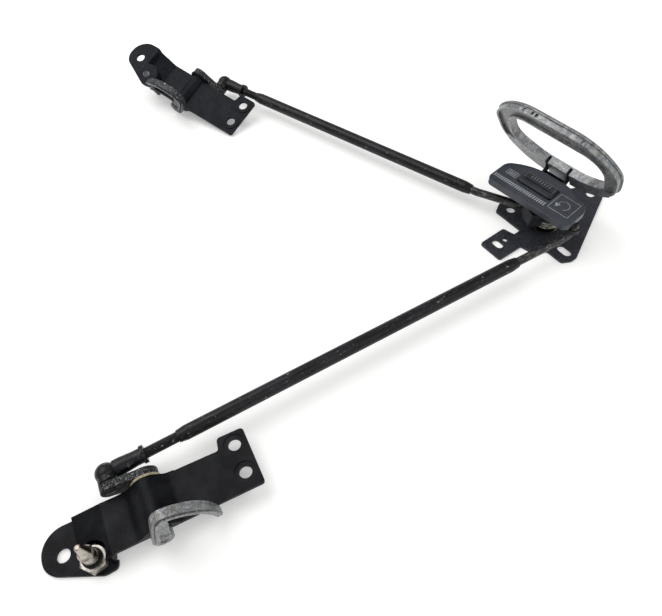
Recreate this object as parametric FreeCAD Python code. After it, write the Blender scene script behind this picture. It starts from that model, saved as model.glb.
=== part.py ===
# Convertible top latch handle: a ring handle turns a hub, and two rods carry the turn to two side latches.
# Millimetres. Origin on the hub's axis at the underside of the base plate, +Y along the plate to its apex, +Z up.
import FreeCAD, Part
import math
import os

V = FreeCAD.Vector
X_AXIS = V(1, 0, 0)
Y_AXIS = V(0, 1, 0)
Z_AXIS = V(0, 0, 1)

# Fits
run_gap = 0.05        # radial, shaft in its bush
loose_gap = 0.3       # between pieces that move past each other

# Base plate
plate_t = 2.5
plate_front_y = -24.0
plate_front_half = 43.0
plate_side_half = 47.8
plate_side_y = -11.0
plate_apex_y = 78.0
plate_apex_half = 9.5
bolt_spacing = 70.0
bolt_y = -11.0
bolt_hole_d = 9.0
bolt_slot_length = 15.0
apex_hole_y = 69.0
tab_width = 26.0
tab_x = -8.3
tab_end_y = -67.0
tab_start_y = -38.0
tab_slot_length = 12.0
tab_slot_width = 8.0
tab_pilot_d = 5.0

# Hub stack
spindle_d = 12.0
spindle_foot_d = 21.0
spindle_foot_t = 1.5
spindle_top_z = 33.2
washer_d = 27.0
washer_t = 1.2
barrel_d = 18.0
spring_wire_d = 2.4
spring_coil_d = 22.4
spring_turns = 3.0
spring_pitch = 3.1
hub_collar_d = 27.0
hub_collar_z = 17.4
arm_bottom_z = 26.2
arm_t = 4.4
near_arm = (32.5, -13.0)
far_arm = (21.0, 191.0)
arm_eye_d = 14.0
circlip_d = 18.0
circlip_t = 1.0
carrier_z = 32.6
carrier_t = 1.8
post_d = 8.0
post_hole_d = 4.0
rivet_head_d = 6.0

# Cover, button and ring handle share this direction and this centre line
hub_turn = 5.5
cover_centre = -15.0
cover_half = 46.5
cover_front = -25.4
cover_depth = 47.0
cover_top_z = 41.0
cover_skin = 2.2
cover_height = 6.5
cover_wall = 2.0
button_length = 38.0
button_width = 16.0
button_centre = -19.0
button_rise = 3.0
button_travel = 2.5
button_flange = 1.5
button_stem_d = 6.0

# Ring handle, drawn in its own plane with the hinge pin at (0, 0)
ring_turn = 4.6
ring_centre = -19.5
hinge_back = 34.8
hinge_z = 38.8
ring_open_angle = 61.0
ring_below_pin = 10.0
ring_half = 68.5
ring_reach = 91.5
ring_under = 3.5
ring_over = 5.0
ring_corner = 24.5
ring_shoulder = 31.5
ring_hinge_corner = 34.5
ring_open_low = 11.6
ring_free_wall = 19.8
ring_left_wall = 18.0
ring_right_wall = 15.3
ring_round = 3.2
ring_rim = 4.0
ring_inner_wall = 3.0
ring_recess = 2.5
pocket_depth = 2.5
pocket_length = 7.0
ring_flange = 3.4
ring_setback = 1.6
ring_pockets = (-32.0, -19.0, 33.0)
hinge_pin_d = 3.5
ear_spacing = 27.0
ear_t = 2.6
ear_r = 3.2
bracket_strip_t = 2.0

# Rods
rod_d = 8.0
rod_z = 18.5
rod_bend_r = 7.5
rod_pin_top_z = 33.0
clip_t = 1.0
clip_d = 11.5
tube_d = 12.0
tube_bore_d = 8.8
tube_taper = 7.0
tube_lip_d = 10.0
rod_overlap = 22.0
near_tube_start = 57.0
near_tube_length = 333.0
far_tube_start = 51.0
far_tube_length = 284.0
far_bends = ((-64.0, -33.5, 22.0), (-27.0, -14.8, 14.0))
rod_end_length = 31.0
rod_end_head_d = 16.4
rod_end_neck_d = 12.0
rod_end_lip_d = 14.5
rod_end_lip_t = 3.0
rod_end_grip = 12.0

# Side latch, drawn with +X from the single bolt hole to the tail and +Y to the rod's side
near_place = (8.3, -510.8, 0.0)
near_turns = (79.4, 0.0, 0.0)
far_place = (-461.2, -207.2, 44.9)
far_turns = (18.28, 8.21, -160.99)
sheet_t = 3.0
step_height = 14.0
lobe_hole_d = 10.5
lobe_left = -15.0
lobe_side = 21.5
body_half = 20.5
body_rod_side = 19.0
body_start = 36.0
ramp_start = 12.0
ramp_rise = 6.8
pocket_r = 11.6
pocket_wall = 2.4
tail_x = 151.0
tail_tab_x = 129.5
tail_tab_y = 28.0
tail_hole_x = 140.5
tail_hole_y = 17.5
tail_hole_gap = 24.0
tail_hole_d = 10.0
dimple_d = 17.0
dimple_depth = 0.9
shaft_x = 71.0
shaft_z = 16.0
shaft_d = 10.0
bush_wall = 1.2
bush_flange_d = 23.0
bush_flange_t = 1.8
housing_wall = 1.6
hump_half = 21.0
crank_radius = 25.0
crank_t = 6.0
crank_hub_d = 21.0
crank_tip_d = 15.0
near_crank_angle = 166.0
far_crank_angle = 28.0
ball_d = 10.0
ball_reach = 9.3
stud_neck_d = 6.5
hook_outer_r = 42.0
hook_rim_t = 3.6
hook_rim_width = 9.0
hook_web_t = 5.0
hook_boss_d = 14.5
hook_boss_t = 6.5
hook_lead = -81.0     # from the crank's arm to the middle of the hook's back
hook_sweep = 102.0
hook_heel = 2.0        # how far the rim runs on behind the hook's back
pin_x = 20.9
pin_y = -14.1
pin_d = 11.6
pin_height = 40.0
pin_shoulder = 13.0
pin_nose_d = 9.0
pin_tip_d = 4.0
nut_flats = 18.0
nut_t = 7.0
collar_d = 14.4
collar_t = 2.6


def outline(corners, z=0.0):
    """A closed wire through (x, y, radius) corners, each rounded by a tangent arc that its sides have room for."""
    points = [V(x, y, z) for x, y, _ in corners]
    count = len(points)
    halves = [(points[i - 1] - points[i]).getAngle(points[(i + 1) % count] - points[i]) / 2 for i in range(count)]
    runs = [corners[i][2] / math.tan(halves[i]) if halves[i] <= math.radians(89.5) else 0 for i in range(count)]
    room = [1.0] * count
    for i in range(count):
        side = (points[i] - points[i - 1]).Length
        if runs[i] + runs[i - 1] > side:
            share = 0.99 * side / (runs[i] + runs[i - 1])
            room[i] = min(room[i], share)
            room[i - 1] = min(room[i - 1], share)
    trimmed = []
    for i, corner in enumerate(corners):
        here = points[i]
        before = (points[i - 1] - here).normalize()
        after = (points[(i + 1) % count] - here).normalize()
        half = before.getAngle(after) / 2
        radius = corner[2] * room[i]
        if radius <= 0 or half > math.radians(89.5):
            trimmed.append((here, None, here))
            continue
        run = radius / math.tan(half)
        middle = (before + after).normalize()
        centre = here + middle * (radius / math.sin(half))
        trimmed.append((here + before * run, centre - middle * radius, here + after * run))
    edges = []
    for i, (start, arc_mid, end) in enumerate(trimmed):
        if arc_mid is not None:
            edges.append(Part.Arc(start, arc_mid, end).toShape())
        following = trimmed[(i + 1) % count][0]
        if end.distanceToPoint(following) > 1e-6:
            edges.append(Part.LineSegment(end, following).toShape())
    return Part.Wire(edges)


def sheet(corners, z, thickness):
    return Part.Face(outline(corners, z)).extrude(V(0, 0, thickness))


def cylinder(diameter, length, base, axis=Z_AXIS):
    return Part.makeCylinder(diameter / 2, length, base, axis)


def slot(length, width, x, y, z, depth):
    """An upright slot-shaped cutter, long in X."""
    half = (length - width) / 2
    ends = [(x - half - width / 2, y - width / 2, width / 2 - 0.01),
            (x + half + width / 2, y - width / 2, width / 2 - 0.01),
            (x + half + width / 2, y + width / 2, width / 2 - 0.01),
            (x - half - width / 2, y + width / 2, width / 2 - 0.01)]
    return sheet(ends, z, depth)


def turned(profile, base=V(0, 0, 0), axis=Z_AXIS):
    """A solid of revolution from (radius, height) points about Z, then set on base along axis."""
    points = [V(r, 0, h) for r, h in profile]
    face = Part.Face(Part.makePolygon(points + [points[0]]))
    solid = face.revolve(V(0, 0, 0), Z_AXIS, 360)
    solid.Placement = FreeCAD.Placement(base, FreeCAD.Rotation(Z_AXIS, axis))
    return solid


def bent_bar(points, radii, diameter):
    """A round bar along straight runs, joined by tangent arcs."""
    edges = []
    start = points[0]
    for i in range(1, len(points) - 1):
        before = (points[i - 1] - points[i]).normalize()
        after = (points[i + 1] - points[i]).normalize()
        half = before.getAngle(after) / 2
        run = radii[i - 1] / math.tan(half)
        middle = (before + after).normalize()
        arc_mid = points[i] + middle * (radii[i - 1] / math.sin(half) - radii[i - 1])
        arc_start = points[i] + before * run
        arc_end = points[i] + after * run
        edges.append(Part.LineSegment(start, arc_start).toShape())
        edges.append(Part.Arc(arc_start, arc_mid, arc_end).toShape())
        start = arc_end
    edges.append(Part.LineSegment(start, points[-1]).toShape())
    path = Part.Wire(edges)
    direction = (points[1] - points[0]).normalize()
    section = Part.Wire([Part.Circle(points[0], direction, diameter / 2).toShape()])
    return path.makePipeShell([section], True, False)


def fused(shapes):
    body = shapes[0].multiFuse(shapes[1:])
    return body.removeSplitter()


def soften(shape, radius, choose):
    """Rounds the edges that choose() picks."""
    edges = [edge for edge in shape.Edges if choose(edge)]
    return shape.makeFillet(radius, edges)


# Base plate with its locating tab

def base_plate():
    half_tab = tab_width / 2
    neck_left = tab_x - 1.1
    lip_y = tab_start_y + 2
    corners = [
        (-plate_front_half, plate_front_y, 3), (neck_left, plate_front_y, 1.5),
        (neck_left, tab_start_y + 5, 1.5), (tab_x - half_tab, tab_start_y + 2, 2.5),
        (tab_x - half_tab, tab_end_y, 2.5), (tab_x + half_tab, tab_end_y, 2.5),
        (tab_x + half_tab + 0.6, tab_start_y - 1, 1), (tab_x + half_tab + 10, lip_y - 1, 3),
        (tab_x + half_tab + 13.5, lip_y + 4, 3), (tab_x + half_tab + 21, plate_front_y, 2),
        (plate_front_half, plate_front_y, 3), (plate_side_half, plate_side_y - 4, 5),
        (plate_side_half, plate_side_y + 3, 4), (plate_apex_half, plate_apex_y, 8),
        (-plate_apex_half, plate_apex_y, 8), (-plate_side_half, plate_side_y + 3, 4),
        (-plate_side_half, plate_side_y - 4, 5)]
    plate = sheet(corners, 0, plate_t)
    deep = plate_t + 2
    cutters = [
        cylinder(bolt_hole_d, deep, V(-bolt_spacing / 2, bolt_y, -1)),
        slot(bolt_slot_length, bolt_hole_d, bolt_spacing / 2, bolt_y, -1, deep),
        cylinder(bolt_hole_d, deep, V(0, apex_hole_y, -1)),
        cylinder(spindle_d, deep, V(0, 0, -1)),
        slot(tab_slot_length, tab_slot_width, tab_x - 2.2, tab_end_y + 12.5, -1, deep),
        cylinder(tab_pilot_d, deep, V(tab_x - 1.7, tab_end_y + 22, -1))]
    return plate.cut(Part.makeCompound(cutters))


# Hub stack: spindle, washer, spring, crank, circlip

def hub_spindle():
    top = plate_t + spindle_foot_t
    groove_z = arm_bottom_z + arm_t + 0.1
    radius = spindle_d / 2
    return turned([(0, 0), (radius, 0), (radius, plate_t), (spindle_foot_d / 2, plate_t),
                   (spindle_foot_d / 2, top), (radius, top), (radius, groove_z),
                   (radius - 1, groove_z), (radius - 1, groove_z + circlip_t),
                   (radius, groove_z + circlip_t), (radius, spindle_top_z - 1),
                   (radius - 1, spindle_top_z), (0, spindle_top_z)])


def thrust_washer():
    z = plate_t + spindle_foot_t
    return cylinder(washer_d, washer_t, V(0, 0, z)).cut(cylinder(spindle_d + 0.4, washer_t, V(0, 0, z)))


def hub_circlip():
    z = arm_bottom_z + arm_t + 0.1
    ring = cylinder(circlip_d, circlip_t, V(0, 0, z)).cut(cylinder(spindle_d - 2, circlip_t, V(0, 0, z)))
    gap = Part.makeBox(circlip_d, 5, circlip_t, V(spindle_d / 2 - 2, -2.5, z))
    return ring.cut(gap)


def hub_spring():
    z = plate_t + spindle_foot_t + washer_t + spring_wire_d / 2 + 0.15
    steps = 16
    radius = spring_coil_d / 2
    turns = [2 * math.pi * i / steps for i in range(int(spring_turns * steps) + 1)]
    points = [V(radius * math.cos(t), radius * math.sin(t), spring_pitch * t / (2 * math.pi)) for t in turns]
    direction = (points[1] - points[0]).normalize()
    section = Part.Wire([Part.Circle(points[0], direction, spring_wire_d / 2).toShape()])
    coil = Part.makePolygon(points).makePipeShell([section], True, False, 1)
    coil.translate(V(0, 0, z))
    return coil


def arm_end(arm):
    radius, degrees = arm
    angle = math.radians(degrees)
    return V(radius * math.cos(angle), radius * math.sin(angle), 0)


def post_spots():
    return [V(14.5, 4.5, 0), V(-3.0, 15.0, 0)]


def hub_crank():
    barrel_z = plate_t + spindle_foot_t + washer_t
    top = arm_bottom_z + arm_t
    pieces = [cylinder(barrel_d, top - barrel_z, V(0, 0, barrel_z)),
              cylinder(hub_collar_d, top - hub_collar_z, V(0, 0, hub_collar_z))]
    for arm in (near_arm, far_arm):
        end = arm_end(arm)
        outer = cylinder(arm_eye_d, arm_t, V(end.x, end.y, arm_bottom_z))
        across = V(-end.y, end.x, 0).normalize()
        corners = [across * 11, across * -11, end + across * (-arm_eye_d / 2), end + across * (arm_eye_d / 2)]
        web = sheet([(p.x, p.y, 0) for p in corners], arm_bottom_z, arm_t)
        pieces += [outer, web]
    # The cast block beside the barrel that stops the turn
    block = [(-12, -8, 1), (-20.5, -15.3, 1), (-14, -20, 1), (-2, -23.5, 2), (4, -16, 2), (2, 0, 1)]
    pieces.append(sheet(block, 13.0, arm_bottom_z - 13.0 + arm_t / 2))
    step = [(-10, -9, 1), (-16, -15, 1), (-12, -17.5, 1), (-2, -20, 1.5), (1, -12, 1)]
    pieces.append(sheet(step, 9.0, 6.0))
    for spot in post_spots():
        pieces.append(cylinder(post_d, carrier_z - top + 1, spot + V(0, 0, top - 1)))
    crank = fused(pieces)
    cutters = [cylinder(spindle_d + 2 * run_gap, top, V(0, 0, 0)),
               cylinder(barrel_d + 6.4 + spring_wire_d + 0.6, hub_collar_z - barrel_z, V(0, 0, barrel_z)).cut(
                   cylinder(barrel_d, hub_collar_z - barrel_z, V(0, 0, barrel_z)))]
    for arm in (near_arm, far_arm):
        cutters.append(cylinder(rod_d + 2 * run_gap, arm_t + 2, arm_end(arm) + V(0, 0, arm_bottom_z - 1)))
        cutters.append(cylinder(arm_eye_d + 2, arm_bottom_z - 8, arm_end(arm) + V(0, 0, 8)))
    for spot in post_spots():
        cutters.append(cylinder(post_hole_d, 7, spot + V(0, 0, carrier_z - 7)))
    return crank.cut(Part.makeCompound(cutters))


# Cover group, in a frame turned with the hub: X along the cover's straight edge

def turned_with_hub(shape):
    placed = shape.copy()
    placed.rotate(V(0, 0, 0), Z_AXIS, hub_turn)
    return placed


def turned_with_ring(shape):
    placed = shape.copy()
    placed.rotate(V(0, 0, 0), Z_AXIS, ring_turn)
    return placed


def hub_frame(point):
    """A point of the row in the cover's turned frame."""
    angle = math.radians(-hub_turn)
    return V(point.x * math.cos(angle) - point.y * math.sin(angle),
             point.x * math.sin(angle) + point.y * math.cos(angle), point.z)


def cover_corners(inset=0.0):
    half = cover_half - inset
    front = cover_front + inset
    back = cover_front + cover_depth - inset
    return [(cover_centre - half, front, 7), (cover_centre + half, front, 7),
            (cover_centre + half, back - 15.5, 12), (cover_centre + half / 2, back - 0.6, 55),
            (cover_centre - half / 2, back - 0.6, 55), (cover_centre - half, back - 15.5, 12)]


def carrier_screw_spots():
    return [V(cover_centre + 37, 0, 0), V(cover_centre - 36, 0, 0)]


def cover_carrier():
    plate = sheet(cover_corners(5.0), carrier_z, carrier_t)
    hole_z = carrier_z - 1
    cutters = [cylinder(spindle_d + 5, 5, V(0, 0, hole_z)),
               Part.makeBox(button_length + 5, button_width + 5, 5,
                            V(button_centre - button_length / 2 - 2.5, -button_width / 2 - 2.5, hole_z))]
    bridge = cylinder(spindle_d + 14, carrier_t, V(0, 0, carrier_z))
    plate = plate.cut(cutters[1]).fuse(bridge).cut(cutters[0])
    for spot in post_spots():
        spot = hub_frame(spot)
        plate = plate.fuse(cylinder(post_d + 4, carrier_t, V(spot.x, spot.y, carrier_z)))
    for spot in post_spots():
        spot = hub_frame(spot)
        plate = plate.cut(cylinder(post_hole_d, 5, V(spot.x, spot.y, hole_z)))
    for arm in (near_arm, far_arm):
        pin = hub_frame(arm_end(arm))
        plate = plate.cut(cylinder(clip_d + 2, 5, V(pin.x, pin.y, hole_z)))
    for spot in carrier_screw_spots():
        plate = plate.cut(cylinder(3.4, 5, V(spot.x, spot.y, hole_z)))
    return turned_with_hub(plate.removeSplitter())


def carrier_rivets():
    rivets = []
    for spot in post_spots():
        spot = V(spot.x, spot.y, 0)
        shank = cylinder(post_hole_d, 6 + carrier_t, spot + V(0, 0, carrier_z - 6))
        head = cylinder(rivet_head_d, 1.0, spot + V(0, 0, carrier_z + carrier_t))
        rivets.append(shank.fuse(head).removeSplitter())
    return Part.makeCompound(rivets)


def cover_plate():
    bottom = cover_top_z - cover_height
    block = sheet(cover_corners(), bottom, cover_height)
    block = soften(block, 0.9, lambda e: min(v.Z for v in e.Vertexes) > cover_top_z - 0.01)
    hollow = sheet(cover_corners(cover_wall), bottom - 1, cover_height - cover_skin + 1)
    window = Part.makeBox(button_length + 0.8, button_width + 0.8, 10,
                          V(button_centre - button_length / 2 - 0.4, -button_width / 2 - 0.4, bottom))
    cover = block.cut(hollow).cut(window)
    for spot in carrier_screw_spots():
        seat = V(spot.x, spot.y, carrier_z + carrier_t)
        boss = cylinder(6.5, cover_top_z - cover_skin - seat.z + 0.5, seat)
        cover = cover.fuse(boss).cut(cylinder(2.6, 4.5, seat))
    return turned_with_hub(cover.removeSplitter())


def cover_screws():
    screws = []
    for spot in carrier_screw_spots():
        shank = cylinder(2.6, carrier_t + 4.5, V(spot.x, spot.y, carrier_z))
        head = cylinder(5.2, 1.6, V(spot.x, spot.y, carrier_z - 1.6))
        screws.append(shank.fuse(head).removeSplitter())
    return turned_with_hub(Part.makeCompound(screws))


def press_button():
    top = cover_top_z + button_rise
    under = cover_top_z - cover_skin
    half_l = button_length / 2
    half_w = button_width / 2
    corners = [(button_centre - half_l, -half_w, 3), (button_centre + half_l, -half_w, 3),
               (button_centre + half_l, half_w, 3), (button_centre - half_l, half_w, 3)]
    block = sheet(corners, under - 0.5, top - under + 0.5)
    block = block.makeChamfer(1.6, [e for e in block.Edges if min(v.Z for v in e.Vertexes) > top - 0.01])
    flange = [(x + math.copysign(button_flange, x - button_centre), y + math.copysign(button_flange, y), 2)
              for x, y, _ in corners]
    block = block.fuse(sheet(flange, under - 1.5, 1.2)).removeSplitter()
    hollow = sheet([(x - math.copysign(2, x - button_centre), y - math.copysign(2, y), 1.5)
                    for x, y, _ in corners], under - 3, top - under + 3 - 2.0)
    rib = Part.makeBox(button_length - 8, 1.2, 1.0, V(button_centre - half_l + 4, -2.2, top - 0.3))
    stem = cylinder(button_stem_d, top - 2 - (under - 1.5) + 1, V(button_centre, 0, under - 1.5))
    return turned_with_hub(block.cut(hollow).fuse(rib).fuse(stem).removeSplitter())


def handle_hinge_bracket():
    half = ear_spacing / 2
    left = ring_centre - half
    strip_z = carrier_z - bracket_strip_t
    strip_end = hinge_back - 6.5
    strip_start = cover_front + cover_depth - 12.5
    strip = Part.makeBox(2 * half, strip_end - strip_start, bracket_strip_t, V(left, strip_start, strip_z))
    pieces = [strip]
    for x in (left, left + 2 * half - ear_t):
        side = [(strip_end - 9, strip_z), (strip_end, strip_z),
                (hinge_back + ear_r * 0.95, hinge_z - 1.5), (hinge_back - ear_r * 0.95, hinge_z + 1.2)]
        ear = Part.Face(Part.makePolygon([V(x, y, z) for y, z in side + side[:1]])).extrude(V(ear_t, 0, 0))
        pieces += [ear, cylinder(2 * ear_r, ear_t, V(x, hinge_back, hinge_z), X_AXIS)]
    bracket = fused(pieces)
    bracket = bracket.cut(cylinder(hinge_pin_d, 2 * half, V(left, hinge_back, hinge_z), X_AXIS))
    return turned_with_ring(bracket)


def handle_hinge_pin():
    length = ear_spacing + 1.6
    start = ring_centre - ear_spacing / 2 - 0.8
    pin = cylinder(hinge_pin_d, length, V(start, hinge_back, hinge_z), X_AXIS)
    head = cylinder(hinge_pin_d + 1.6, 0.8, V(start, hinge_back, hinge_z), X_AXIS)
    return turned_with_ring(pin.fuse(head).removeSplitter())


def ring_outer(inset, z):
    """The ring's outer edge in its own plane: x along the hinge pin, y from the pin to the free end."""
    low = -ring_below_pin + inset
    high = ring_reach - inset
    half = ring_half - inset
    flat = ring_half - ring_corner
    near = ring_half - ring_hinge_corner
    turn = ring_reach - ring_shoulder
    shape = [(-near, low, 60 - inset), (near, low, 60 - inset), (half - 3, 22 + inset * 0.3, 38 - inset),
             (half, turn, 28 - inset), (flat, high, 50 - inset), (-flat, high, 50 - inset), (-half, turn, 28 - inset),
             (-half + 3, 22 + inset * 0.3, 38 - inset)]
    return outline(shape, z)


def ring_inner(grow, z):
    """The ring's opening, which the cover fills when the ring is folded down over it."""
    low = ring_open_low - grow
    high = ring_reach - ring_free_wall + grow
    left = -(ring_half - ring_left_wall) - grow
    right = ring_half - ring_right_wall + grow
    return outline([(-19.5, low, 50), (28.5, low, 50), (right, 25.5, 14 + grow), (right, high, 23 + grow),
                    (left, high, 23 + grow), (left, 26, 18 + grow)], z)


def ring_handle():
    thick = ring_under + ring_over
    body = Part.Face(ring_outer(0, -ring_under)).extrude(V(0, 0, thick))
    top_edges = [e for e in body.Edges if min(v.Z for v in e.Vertexes) > ring_over - 0.01]
    body = body.makeFillet(ring_round, top_edges)
    opening = Part.Face(ring_inner(0, -ring_under - 1)).extrude(V(0, 0, thick + 2))
    body = body.cut(opening)
    # A shallow channel runs round the underside, apart from the hinge's side
    channel = Part.Face(ring_outer(ring_rim, -ring_under - 1)).extrude(V(0, 0, ring_recess + 1))
    keep = Part.Face(ring_inner(ring_inner_wall, -ring_under - 1)).extrude(V(0, 0, ring_recess + 1))
    solid_side = Part.makeBox(2 * ring_half, ring_below_pin + 24, 12, V(-ring_half, -ring_below_pin - 1, -9))
    body = body.cut(channel.cut(keep).cut(solid_side))
    # The wall is set back under the show side's flange, with pairs of pockets along the free side
    band = ring_outer(0, -ring_under - 1)
    setback = Part.Face(band).extrude(V(0, 0, thick + 1 - ring_flange))
    setback = setback.cut(Part.Face(ring_outer(ring_setback, -ring_under - 1)).extrude(V(0, 0, thick + 1)))
    hinge_side = Part.makeBox(2 * ring_half, ring_below_pin + 16, 20, V(-ring_half, -ring_below_pin - 1, -10))
    body = body.cut(setback.cut(hinge_side))
    notch_y = ring_reach - ring_setback - pocket_depth
    for x in ring_pockets:
        for step in (-1, 1):
            notch = Part.makeBox(pocket_length / 2 - 0.6, 10, thick - ring_flange - 1.6,
                                 V(x + step * pocket_length / 3.4 - pocket_length / 4, notch_y, -ring_under + 0.8))
            body = body.cut(notch)
    # Slots for the hinge's ears, and the pin's bore through the boss between them
    ear_room = ear_t + 2 * loose_gap
    for x in (-ear_spacing / 2 + ear_t / 2, ear_spacing / 2 - ear_t / 2):
        notch = Part.makeBox(ear_room, ring_below_pin + 16, ring_under + ear_r + 1.4,
                             V(x - ear_room / 2, -ring_below_pin - 1, -ring_under - 1))
        body = body.cut(notch)
    bore_half = ear_spacing / 2 + 3
    bore = cylinder(hinge_pin_d + 2 * run_gap, 2 * bore_half, V(-bore_half, 0, 0), X_AXIS)
    wider = cylinder(hinge_pin_d + 1.6 + 2 * loose_gap, 3.2, V(-bore_half, 0, 0), X_AXIS)
    body = body.cut(bore).cut(wider)
    # Closed, the ring's y runs to the front of the cover; open, it stands over the hinge
    body = body.mirror(V(0, 0, 0), Y_AXIS)
    body = body.copy()
    body.rotate(V(0, 0, 0), X_AXIS, -ring_open_angle)
    body.translate(V(ring_centre, hinge_back, hinge_z))
    return turned_with_ring(body)


# Rods

def latch_frame(place, turns):
    yaw, pitch, roll = turns
    return FreeCAD.Placement(V(*place), FreeCAD.Rotation(yaw, pitch, roll))


def crank_tip(side, angle):
    """The ball's centre in the latch's own frame. side is 1 for the near latch, -1 for its mirror image."""
    turn = math.radians(angle)
    reach = body_rod_side + bush_flange_t + 0.4 + crank_t + ball_reach
    return V(shaft_x + crank_radius * math.cos(turn), side * reach, shaft_z + crank_radius * math.sin(turn))


LATCHES = {
    "near": dict(side=1, frame=latch_frame(near_place, near_turns), angle=near_crank_angle,
                 arm=near_arm, bends=(), tube_start=near_tube_start, tube_length=near_tube_length),
    "far": dict(side=-1, frame=latch_frame(far_place, far_turns), angle=far_crank_angle,
                arm=far_arm, bends=far_bends, tube_start=far_tube_start, tube_length=far_tube_length),
}


def rod_line(latch):
    """Where the rod starts at the ball, and the corner it runs straight to."""
    ball = latch["frame"].multVec(crank_tip(latch["side"], latch["angle"]))
    end = arm_end(latch["arm"]) + V(0, 0, rod_z)
    if not latch["bends"]:
        return ball, end
    first = V(latch["bends"][0][0], latch["bends"][0][1], rod_z)
    share = (end - first).Length / (end - ball).Length
    return ball, first + V(0, 0, (ball.z - rod_z) * share)


def inner_rod(latch):
    ball, corner = rod_line(latch)
    direction = (corner - ball).normalize()
    start = ball + direction * (latch["tube_start"] + latch["tube_length"] - rod_overlap)
    end = arm_end(latch["arm"]) + V(0, 0, rod_z)
    top = V(end.x, end.y, rod_pin_top_z)
    corners = [corner] + [V(x, y, rod_z) for x, y, _ in latch["bends"][1:]] if latch["bends"] else []
    radii = [radius for _, _, radius in latch["bends"]] + [rod_bend_r]
    return bent_bar([start] + corners + [end, top], radii, rod_d)


def rod_tube(latch):
    ball, corner = rod_line(latch)
    direction = (corner - ball).normalize()
    length = latch["tube_length"]
    lip = tube_lip_d / 2
    wide = tube_d / 2
    bore = rod_d / 2
    hollow = tube_bore_d / 2
    return turned([(bore, 0), (lip, 0), (wide, tube_taper), (wide, length - tube_taper), (lip, length),
                   (bore, length), (bore, length - rod_overlap), (hollow, length - rod_overlap - 2),
                   (hollow, rod_overlap + 2), (bore, rod_overlap)],
                  ball + direction * latch["tube_start"], direction)


def threaded_rod(latch):
    ball, corner = rod_line(latch)
    direction = (corner - ball).normalize()
    start = rod_end_length - rod_end_grip
    length = latch["tube_start"] + rod_overlap - start
    return cylinder(rod_d, length, ball + direction * start, direction)


def rod_end(latch):
    ball, corner = rod_line(latch)
    direction = (corner - ball).normalize()
    stud_axis = latch["frame"].Rotation.multVec(V(0, latch["side"], 0))
    head_r = rod_end_head_d / 2
    neck = rod_end_neck_d / 2
    lip = rod_end_lip_d / 2
    socket_r = ball_d / 2 + loose_gap
    collar_r = head_r - 0.8
    collar_end = ball_reach - 1.2
    mouth_r = stud_neck_d / 2 + 1.2
    collar_start = math.sqrt(head_r ** 2 - collar_r ** 2)
    mouth_start = math.sqrt(socket_r ** 2 - mouth_r ** 2)
    outside = Part.Arc(V(0, 0, -head_r), V(head_r, 0, 0), V(collar_r, 0, collar_start)).toShape()
    inside = Part.Arc(V(mouth_r, 0, mouth_start), V(socket_r, 0, 0), V(0, 0, -socket_r)).toShape()
    rim = [V(collar_r, 0, collar_start), V(collar_r, 0, collar_end),
           V(mouth_r + 1.2, 0, collar_end), V(mouth_r, 0, mouth_start)]
    base = Part.makeLine(V(0, 0, -socket_r), V(0, 0, -head_r))
    section = Part.Wire([outside] + [Part.makeLine(p, q) for p, q in zip(rim, rim[1:])] + [inside, base])
    head = Part.Face(section).revolve(V(0, 0, 0), Z_AXIS, 360)
    head.Placement = FreeCAD.Placement(ball, FreeCAD.Rotation(Z_AXIS, -stud_axis))
    root = socket_r + 0.3
    root_r = math.sqrt(head_r ** 2 - root ** 2) - 0.1
    shank = turned([(0, root), (root_r, root), (neck + 0.8, root + 1.6), (neck + 0.8, 12),
                    (neck, rod_end_length - 9), (neck, rod_end_length - rod_end_lip_t),
                    (lip, rod_end_length - rod_end_lip_t), (lip, rod_end_length),
                    (0, rod_end_length)], ball, direction)
    stud_room = cylinder(2 * mouth_r - 0.6, collar_end + 2, ball - stud_axis * (mouth_start + 0.5), -stud_axis)
    bore = cylinder(rod_d, rod_end_grip, ball + direction * (rod_end_length - rod_end_grip), direction)
    return head.fuse(shank.cut(stud_room).cut(bore))


def rod_clip(latch):
    end = arm_end(latch["arm"]) + V(0, 0, arm_bottom_z + arm_t)
    disc = cylinder(clip_d, clip_t, end).cut(cylinder(rod_d, clip_t, end))
    notch = Part.makeBox(clip_d, 1.6, clip_t, end + V(rod_d / 2 + 1, -0.8, 0))
    return disc.cut(notch)


# Side latch pieces, each in the latch's own frame

def side_profile(points, low, high):
    """A solid from (x, z) points, running in Y from low to high."""
    face = Part.Face(Part.makePolygon([V(x, low, z) for x, z in points + points[:1]]))
    return face.extrude(V(0, high - low, 0))


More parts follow.
